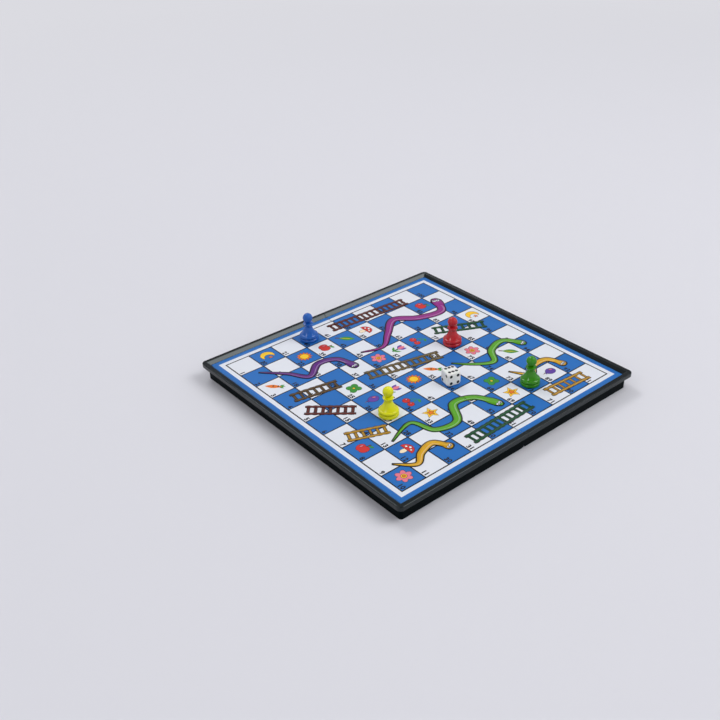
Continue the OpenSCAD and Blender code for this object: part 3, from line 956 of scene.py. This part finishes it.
# Layers of each kind of picture, from below: ink and the outlines printed in it
DRAWINGS = {
    "apple": [
        ("brown", [bar((0.02, 0.16), (0.07, 0.44), 0.06)]),
        ("red", [ellipse(-0.14, -0.08, 0.24, 0.31, 12), ellipse(0.14, -0.08, 0.24, 0.31, -12)]),
        ("leaf", [blade((0.08, 0.3), (0.4, 0.42), 0.16)]),
        ("pink", [ellipse(-0.2, 0.02, 0.05, 0.11, -20)]),
    ],
    "balloon": [
        ("brown", [blade((0.0, -0.5), (0.0, -0.18), 0.045, 0.12)]),
        ("violet", [ellipse(0.0, 0.14, 0.28, 0.34), star(0.0, -0.24, 3, 0.09, 0.045)]),
        ("pink", [ellipse(-0.11, 0.26, 0.05, 0.11, -25)]),
    ],
    "carrot": [
        ("leaf", [blade((0.1, 0.12), end, 0.13) for end in ((0.2, 0.5), (0.38, 0.42), (0.48, 0.24))]),
        ("orange", [blade((-0.5, -0.46), (0.26, 0.24), 0.34)]),
        ("brown", [bar((-0.2, -0.04), (-0.1, -0.14), 0.03), bar((0.02, 0.16), (0.12, 0.06), 0.03)]),
    ],
    "cherries": [
        ("leaf", [
            blade((-0.2, -0.1), (0.14, 0.42), 0.06, 0.1), blade((0.2, -0.14), (0.14, 0.42), 0.06, 0.08),
            blade((0.14, 0.42), (0.48, 0.26), 0.18),
        ]),
        ("red", [ellipse(-0.22, -0.22, 0.22, 0.22), ellipse(0.24, -0.26, 0.2, 0.2)]),
        ("pink", [ellipse(-0.3, -0.14, 0.05, 0.07, 40), ellipse(0.17, -0.19, 0.045, 0.06, 40)]),
    ],
    "clover": [
        ("leaf", [blade((0.02, 0.0), (0.22, -0.5), 0.09, 0.08), *ring_of(4, 0.22, 0.24, 0.2, 45.0)]),
        ("yellow", [ellipse(0.0, 0.0, 0.07, 0.07)]),
    ],
    "flower": [
        ("pink", ring_of(6, 0.28, 0.21, 0.15)),
        ("yellow", [ellipse(0.0, 0.0, 0.16, 0.16)]),
        ("orange", [ellipse(0.0, 0.0, 0.08, 0.08)]),
    ],
    "leaf": [
        ("brown", [bar((-0.48, -0.44), (-0.22, -0.2), 0.06)]),
        ("leaf", [blade((-0.34, -0.32), (0.44, 0.42), 0.44)]),
        ("yellow", [blade((-0.3, -0.28), (0.34, 0.32), 0.05)]),
    ],
    "moon": [
        ("yellow", [crescent(-0.02, 0.0, 0.44, 0.36)]),
        ("orange", [star(0.26, 0.06, 5, 0.15, 0.065)]),
    ],
    "mushroom": [
        ("cream", [ellipse(0.0, -0.22, 0.15, 0.26)]),
        ("red", [dome(0.0, -0.04, 0.46, 0.44)]),
        ("white", [
            ellipse(-0.2, 0.14, 0.07, 0.06), ellipse(0.02, 0.25, 0.08, 0.07),
            ellipse(0.22, 0.12, 0.06, 0.055),
        ]),
    ],
    "star": [
        ("yellow", [star(0.0, 0.0, 5, 0.5, 0.23)]),
        ("orange", [star(0.0, 0.0, 5, 0.24, 0.11)]),
    ],
    "sun": [
        ("orange", [star(0.0, 0.0, 12, 0.5, 0.33)]),
        ("yellow", [ellipse(0.0, 0.0, 0.27, 0.27)]),
    ],
    "tulip": [
        ("leaf", [
            bar((0.0, -0.48), (0.0, 0.05), 0.07), blade((0.0, -0.44), (0.36, -0.06), 0.16),
            blade((0.0, -0.44), (-0.36, -0.1), 0.16),
        ]),
        ("violet", [
            blade((-0.06, -0.04), (-0.26, 0.46), 0.26), blade((0.06, -0.04), (0.26, 0.46), 0.26),
        ]),
        ("pink", [blade((0.0, -0.06), (0.0, 0.5), 0.28)]),
    ],
}


def picture_shape(settings, kind):
    """Mesh of one picture about its middle, in layers with no two tops level.

    Under each colour lies black, which shows as an edge round every shape but the blades.
    """
    shape = bmesh.new()
    names = list(PICTURE_INKS)
    line = settings.picture_line / settings.picture
    level = 0
    for ink, outlines in DRAWINGS[kind]:
        for grown, place in ((line, names.index("black")), (0.0, names.index(ink))):
            for i, outline in enumerate(outlines, 1):
                points = outset(outline, grown) if grown else outline
                scaled = [(x * settings.picture, y * settings.picture) for x, y in points]
                prism(shape, scaled, (level + i / len(outlines)) * settings.ink_step, place)
            level += 1
    return shape


def digit_shape(settings, digit):
    """Mesh of one bold digit about its middle."""
    text = bpy.data.curves.new("digit", "FONT")
    text.body = str(digit)
    text.offset = settings.number_weight
    text.resolution_u = 3
    mesh = taken_mesh(linked("digit", text))
    shape = bmesh.new()
    shape.from_mesh(mesh)
    bpy.data.meshes.remove(mesh)
    bmesh.ops.remove_doubles(shape, verts=shape.verts, dist=DIGIT_GAP)
    low, high = (Vector(end(v.co[k] for v in shape.verts) for k in range(3)) for end in (min, max))
    size = settings.number_height / (high.y - low.y)
    bmesh.ops.translate(shape, verts=shape.verts, vec=-(low + high) / 2)
    bmesh.ops.scale(shape, verts=shape.verts, vec=(size, size, size))
    raised = bmesh.ops.extrude_face_region(shape, geom=shape.faces[:], use_keep_orig=True)
    tops = [item for item in raised["geom"] if isinstance(item, bmesh.types.BMVert)]
    bmesh.ops.translate(shape, verts=tops, vec=(0.0, 0.0, NUMBER_LEVEL * settings.ink_step))
    shape.faces.layers.int.new("ink")
    return shape


def stamped(name, shapes, places, inks):
    """Mesh with one of the shapes stamped on each place: a list of the shape's number and a point."""
    holders = bpy.data.collections.new(name)
    for i, shape in enumerate(shapes):
        holders.objects.link(bpy.data.objects.new(f"{name}_{i:02d}", plain_mesh(name, shape)))
    points = points_mesh(name, [point for _, point in places])
    kinds = points.attributes.new("kind", "INT", "POINT")
    kinds.data.foreach_set("value", [kind for kind, _ in places])
    mesh = grown_mesh(stamp_tree(inks), points, {"Shapes": holders})
    for holder in list(holders.objects):
        bpy.data.objects.remove(holder)
    bpy.data.collections.remove(holders)
    return mesh


# Operators


class BOARD_OT_print_sheets(bpy.types.Operator):
    """Print the squares, lines and bands on the sheet of each half"""

    bl_idname = "board.print_sheets"
    bl_label = "Print sheets"

    def cell_edges(self, settings, low, high):
        """Edges of the cells along one axis, from one edge of the sheet to the other."""
        half = settings.square * SQUARES / 2
        edges = [-half - settings.white_band, half + settings.white_band]
        for k in range(SQUARES + 1):
            line = k * settings.square - half
            edges += [line - settings.line / 2, line + settings.line / 2]
        return [low, *sorted(edge for edge in edges if low < edge < high), high]

    def cell_ink(self, settings, x, y):
        """Ink of a cell by its middle."""
        half = settings.square * SQUARES / 2
        reach = max(abs(x), abs(y))
        if reach > half + settings.white_band:
            return BLUE
        if reach > half + settings.line / 2:
            return WHITE
        for value in (x, y):
            from_line = (value + half + settings.square / 2) % settings.square - settings.square / 2
            if abs(from_line) < settings.line / 2:
                return BLACK
        column, row = (int((value + half) // settings.square) for value in (x, y))
        return BLUE if (column + row) % 2 else WHITE

    def execute(self, context):
        settings = context.scene.board_print
        inks = [finished("sheet_" + ink, getattr(settings, ink), LAMINATE) for ink in SHEET_INKS]
        for half in HALVES:
            low, high = SHEET_BOX[half]
            xs = self.cell_edges(settings, low.x, high.x)
            ys = self.cell_edges(settings, low.y, high.y)
            shape = bmesh.new()
            grid = [[shape.verts.new((x, y, paper_z(settings))) for x in xs] for y in ys]
            for j in range(len(ys) - 1):
                for i in range(len(xs) - 1):
                    cell = shape.faces.new((grid[j][i], grid[j][i + 1], grid[j + 1][i + 1], grid[j + 1][i]))
                    middle = ((xs[i] + xs[i + 1]) / 2, (ys[j] + ys[j + 1]) / 2)
                    cell.material_index = self.cell_ink(settings, *middle)
            for item in bmesh.ops.extrude_edge_only(shape, edges=boundary(shape))["geom"]:
                if isinstance(item, bmesh.types.BMVert):
                    item.co.z = low.z
                elif isinstance(item, bmesh.types.BMFace):
                    item.material_index = WHITE
            for face in bmesh.ops.holes_fill(shape, edges=boundary(shape))["faces"]:
                face.material_index = WHITE
            piece = make_piece("print_" + half, shape, inks, "board_" + half)
            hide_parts("print_sheet_" + half)
        return {"FINISHED"}


class BOARD_OT_print_numbers(bpy.types.Operator):
    """Print the number of each square in its lower right corner"""

    bl_idname = "board.print_numbers"
    bl_label = "Print numbers"

    def execute(self, context):
        settings = context.scene.board_print
        places = []
        for square in range(1, SQUARES * SQUARES + 1):
            corner = square_point(settings, square, 1.0, 0.0)
            for k, digit in enumerate(reversed(str(square))):
                x = corner.x - settings.number_side - k * settings.number_pitch
                places.append((int(digit), (x, corner.y + settings.number_foot, paper_z(settings))))
        shapes = [digit_shape(settings, digit) for digit in range(10)]
        inks = [finished("number_black", settings.black, LAMINATE)]
        print_on_halves("numbers", [stamped("numbers", shapes, places, inks)])
        return {"FINISHED"}


class BOARD_OT_print_pictures(bpy.types.Operator):
    """Print the small pictures on their squares"""

    bl_idname = "board.print_pictures"
    bl_label = "Print pictures"

    def execute(self, context):
        settings = context.scene.board_print
        places = []
        for kind, squares in enumerate(PICTURES.values()):
            for square in squares:
                point = square_point(settings, square, *PICTURE_MIDDLE)
                places.append((kind, (point.x, point.y, paper_z(settings))))
        shapes = [picture_shape(settings, kind) for kind in PICTURES]
        inks = [finished("picture_" + ink, srgb(*paint), LAMINATE) for ink, paint in PICTURE_INKS.items()]
        print_on_halves("pictures", [stamped("pictures", shapes, places, inks)])
        return {"FINISHED"}


class BOARD_OT_print_ladders(bpy.types.Operator):
    """Print the ladders from foot to top"""

    bl_idname = "board.print_ladders"
    bl_label = "Print ladders"

    def execute(self, context):
        sheet, settings = context.scene.board_print, context.scene.board_ladders
        tree = ladder_tree()
        values = {
            "Base": paper_z(sheet), "Step": sheet.ink_step,
            "Line Ink": finished("ladder_black", sheet.black, LAMINATE),
        }
        for size in ("width", "rail", "rung", "pitch", "overhang", "outline", "grain", "knot"):
            values[size.title()] = getattr(settings, size)
        inks, meshes = {}, []
        for wood, foot, top in LADDERS:
            if wood not in inks:
                inks[wood] = two_inks("ladder_" + wood, getattr(settings, wood), "grain", *GRAIN_SHADE)
            values["Wood Ink"], values["Grain Ink"] = inks[wood]
            source = chain("ladder", [board_point(sheet, *foot), board_point(sheet, *top)])
            meshes.append(grown_mesh(tree, source, values))
        print_on_halves("ladders", meshes)
        return {"FINISHED"}


class BOARD_OT_print_snakes(bpy.types.Operator):
    """Print the snakes from head to tail"""

    bl_idname = "board.print_snakes"
    bl_label = "Print snakes"

    def execute(self, context):
        sheet, settings = context.scene.board_print, context.scene.board_snakes
        tree = snake_tree()
        values = {
            "Outline": settings.outline, "Base": paper_z(sheet), "Step": sheet.ink_step,
            "Line Ink": finished("snake_black", sheet.black, LAMINATE),
            "Eye Ink": finished("snake_eye", sheet.white, LAMINATE),
        }
        inks, meshes = {}, []
        for skin, size, way in SNAKES:
            if skin not in inks:
                inks[skin] = two_inks("snake_" + skin, getattr(settings, skin), "streak", *STREAK_SHADE)
            values["Skin Ink"], values["Streak Ink"] = inks[skin]
            values["Width"], values["Eye"] = settings.width * size, settings.eye * size
            source = chain("snake", [board_point(sheet, *point) for point in way])
            meshes.append(grown_mesh(tree, source, values))
        print_on_halves("snakes", meshes)
        return {"FINISHED"}


class BOARD_OT_finish_trays(bpy.types.Operator):
    """Finish the black trays and mark where they were pushed out of the mould"""

    bl_idname = "board.finish_trays"
    bl_label = "Finish trays"

    def execute(self, context):
        case = context.scene.board_case
        plastic = tray_plastic("tray_black", case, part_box("tray_front")[1].z - case.lip)
        tree = mark_tree()
        values = {"Diameter": case.mark, "Rise": case.mark_rise, "Plastic": plastic}
        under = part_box("steel_sheet_front")[0].z - case.panel
        for half in HALVES:
            dress("tray_" + half, plastic)
            low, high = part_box("tray_" + half)
            outer = FOLD_SIDE[half] * (max(abs(low.y), abs(high.y)) - case.wall)
            inner = FOLD_SIDE[half] * (min(abs(low.y), abs(high.y)) + case.fold_wall)
            left, right = low.x + case.wall, high.x - case.wall
            points = []
            for i in range(case.cells_across):
                for j in range(case.cells_deep):
                    x = left + (right - left) * (i + 0.5) / case.cells_across
                    y = inner + (outer - inner) * (j + 0.5) / case.cells_deep
                    points.append((x, y, under - case.mark_rise / 2))
            shape, materials = gather([grown_mesh(tree, points_mesh("cells", points), values)])
            make_piece("ejector_marks_" + half, shape, materials, "board_" + half)
        return {"FINISHED"}


class BOARD_OT_finish_metal(bpy.types.Operator):
    """Finish the hinge links, the pins, the steel sheets and the magnets"""

    bl_idname = "board.finish_metal"
    bl_label = "Finish hinge and metal"

    def execute(self, context):
        case = context.scene.board_case
        sheet = metal(
            "sheet_steel", case.steel,
            rough=0.3, stretch=(1.0, 12.0, 1.0), per_metre=120.0, depth=0.000004,
        )
        wire = metal(
            "pin_wire", case.steel,
            rough=0.24, stretch=(0.2, 6.0, 6.0), per_metre=500.0, depth=0.000004,
        )
        nickel = metal(
            "magnet_nickel", case.nickel,
            rough=0.16, stretch=(1.0, 1.0, 1.0), per_metre=700.0, depth=0.000005,
        )
        grey = finished("magnet_ferrite", case.ferrite, FERRITE)
        link = finished("link_black", case.plastic, LINK_WAX)
        for half in HALVES:
            dress("steel_sheet_" + half, sheet)
            for side in SIDES:
                dress(f"hinge_pin_{half}_{side}", wire)
                dress(f"closure_magnet_{half}_{side}", nickel)
        for side in SIDES:
            dress("hinge_link_" + side, link)
        for name in PAWNS:
            dress("pawn_magnet_" + name, grey)
        return {"FINISHED"}


class BOARD_OT_finish_pieces(bpy.types.Operator):
    """Finish the four pawns, the die and its pips"""

    bl_idname = "board.finish_pieces"
    bl_label = "Finish pawns and die"

    def execute(self, context):
        settings = context.scene.board_pieces
        for name in PAWNS:
            low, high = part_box("pawn_" + name)
            centre, paint = tuple((low + high) / 2), getattr(settings, name)
            dress("pawn_" + name, finished("pawn_" + name, paint, PAWN_GLOSS, centre, settings.seam))
        dress("die", die_plastic("die_white", settings.die))
        dress("die_pips", finished("pip_black", settings.pips, PIP_PAINT))
        return {"FINISHED"}


class BOARD_OT_make_stage(bpy.types.Operator):
    """Set up the floor, the light and the camera"""

    bl_idname = "board.make_stage"
    bl_label = "Make stage"

    def make_floor(self, settings):
        """Pale floor that keeps its light and shade near the board and runs into the sky far off."""
        half = settings.floor_size / 2
        corners = [(x * half, y * half, -FLOOR_DROP) for x, y in ((-1, -1), (1, -1), (1, 1), (-1, 1))]
        mesh = points_mesh("floor", corners, faces=[(0, 1, 2, 3)])
        material, tree, shader = new_material("floor_pale")
        place = object_place(tree)
        put(shader, "Base Color", settings.floor)
        put(shader, "Specular IOR Level", 0.1)
        put(shader, "Roughness", spread(tree, noise(tree, place, 30.0, 3.0), 0.75, 0.9))
        ray = add(tree, "ShaderNodeLightPath")
        seen = math_of(tree, "MAXIMUM", ray["Is Camera Ray"], ray["Is Glossy Ray"])
        seen = math_of(tree, "MAXIMUM", seen, ray["Is Transmission Ray"])
        away = add(tree, "ShaderNodeVectorMath", {0: place}, operation="LENGTH")["Value"]
        far = spread(tree, away, 0.0, 1.0, settings.clear, settings.fade)
        glow = made(tree, "ShaderNodeEmission", {"Color": settings.floor})
        blend = {0: times(tree, far, seen), 1: shader.outputs["BSDF"], 2: glow}
        put(tree.nodes["Material Output"], "Surface", made(tree, "ShaderNodeMixShader", blend))
        mesh.materials.append(material)
        floor = linked("floor", mesh)

    def make_panel(self, name, watts, size, place):
        """Soft light panel that faces the middle of the board."""
        light = bpy.data.lights.new(name, "AREA")
        light.energy, light.size = watts, size
        panel = linked(name, light)
        panel.location = place
        panel.rotation_euler = (-Vector(place)).to_track_quat("-Z", "Y").to_euler()

    def make_sky(self, settings):
        """Plain light from all round: pale walls under a dimmer ceiling."""
        world = bpy.data.worlds.new("sky")
        world.use_nodes = True
        tree = world.node_tree
        rise = part(tree, add(tree, "ShaderNodeTexCoord")["Generated"], "Z")
        put(tree.nodes["Background"], "Color", settings.floor)
        put(tree.nodes["Background"], "Strength", spread(tree, rise, 1.0, settings.ceiling, *SKY_FADE))
        bpy.context.scene.world = world

    def make_camera(self, settings):
        """Camera at the angle of the photograph."""
        data = bpy.data.cameras.new("camera")
        data.sensor_width, data.lens = 36.0, settings.lens
        data.shift_x, data.shift_y = settings.shift_x, settings.shift_y
        data.clip_start, data.clip_end = 0.01, 50.0
        place = Matrix.Translation((0.0, 0.0, SHEET_TOP))
        turns = ((settings.azimuth, "Z"), (math.pi / 2 - settings.elevation, "X"), (settings.roll, "Z"))
        for turn, axis in turns:
            place @= Matrix.Rotation(turn, 4, axis)
        camera = linked("camera", data)
        slide = (settings.slide_right, settings.slide_up, settings.distance)
        camera.matrix_world = place @ Matrix.Translation(slide)
        bpy.context.scene.camera = camera

    def execute(self, context):
        settings = context.scene.board_stage
        self.make_floor(settings)
        self.make_sky(settings)
        for name, (size, place) in PANELS.items():
            self.make_panel("panel_" + name, getattr(settings, name), size, place)
        self.make_camera(settings)
        context.scene.view_settings.view_transform = "Standard"
        return {"FINISHED"}


class BOARD_PT_sidebar(bpy.types.Panel):
    """Board settings and steps"""

    bl_idname = "BOARD_PT_sidebar"
    bl_label = "Snakes and Ladders Board"
    bl_space_type = "VIEW_3D"
    bl_region_type = "UI"
    bl_category = "Board"

    def draw(self, context):
        for step in STEPS:
            self.layout.operator(step.bl_idname)
        for name, group in SETTINGS.items():
            box = self.layout.box()
            box.label(text=group.__doc__)
            for setting in group.__annotations__:
                box.prop(getattr(context.scene, name), setting)


STEPS = (
    BOARD_OT_make_stage,
    BOARD_OT_print_sheets,
    BOARD_OT_print_numbers,
    BOARD_OT_print_pictures,
    BOARD_OT_print_ladders,
    BOARD_OT_print_snakes,
    BOARD_OT_finish_trays,
    BOARD_OT_finish_metal,
    BOARD_OT_finish_pieces,
)
CLASSES = (*SETTINGS.values(), *STEPS, BOARD_PT_sidebar)


def register():
    """Registers the classes and hangs the settings on the scene."""
    for cls in CLASSES:
        bpy.utils.register_class(cls)
    for name, group in SETTINGS.items():
        setattr(bpy.types.Scene, name, PointerProperty(type=group))


def unregister():
    """Takes the settings and the classes away again."""
    for name in SETTINGS:
        delattr(bpy.types.Scene, name)
    for cls in reversed(CLASSES):
        bpy.utils.unregister_class(cls)


def main():
    """Runs every step in order."""
    register()
    bpy.ops.board.make_stage()
    bpy.ops.board.print_sheets()
    bpy.ops.board.print_numbers()
    bpy.ops.board.print_pictures()
    bpy.ops.board.print_ladders()
    bpy.ops.board.print_snakes()
    bpy.ops.board.finish_trays()
    bpy.ops.board.finish_metal()
    bpy.ops.board.finish_pieces()


if __name__ == "__main__":
    main()
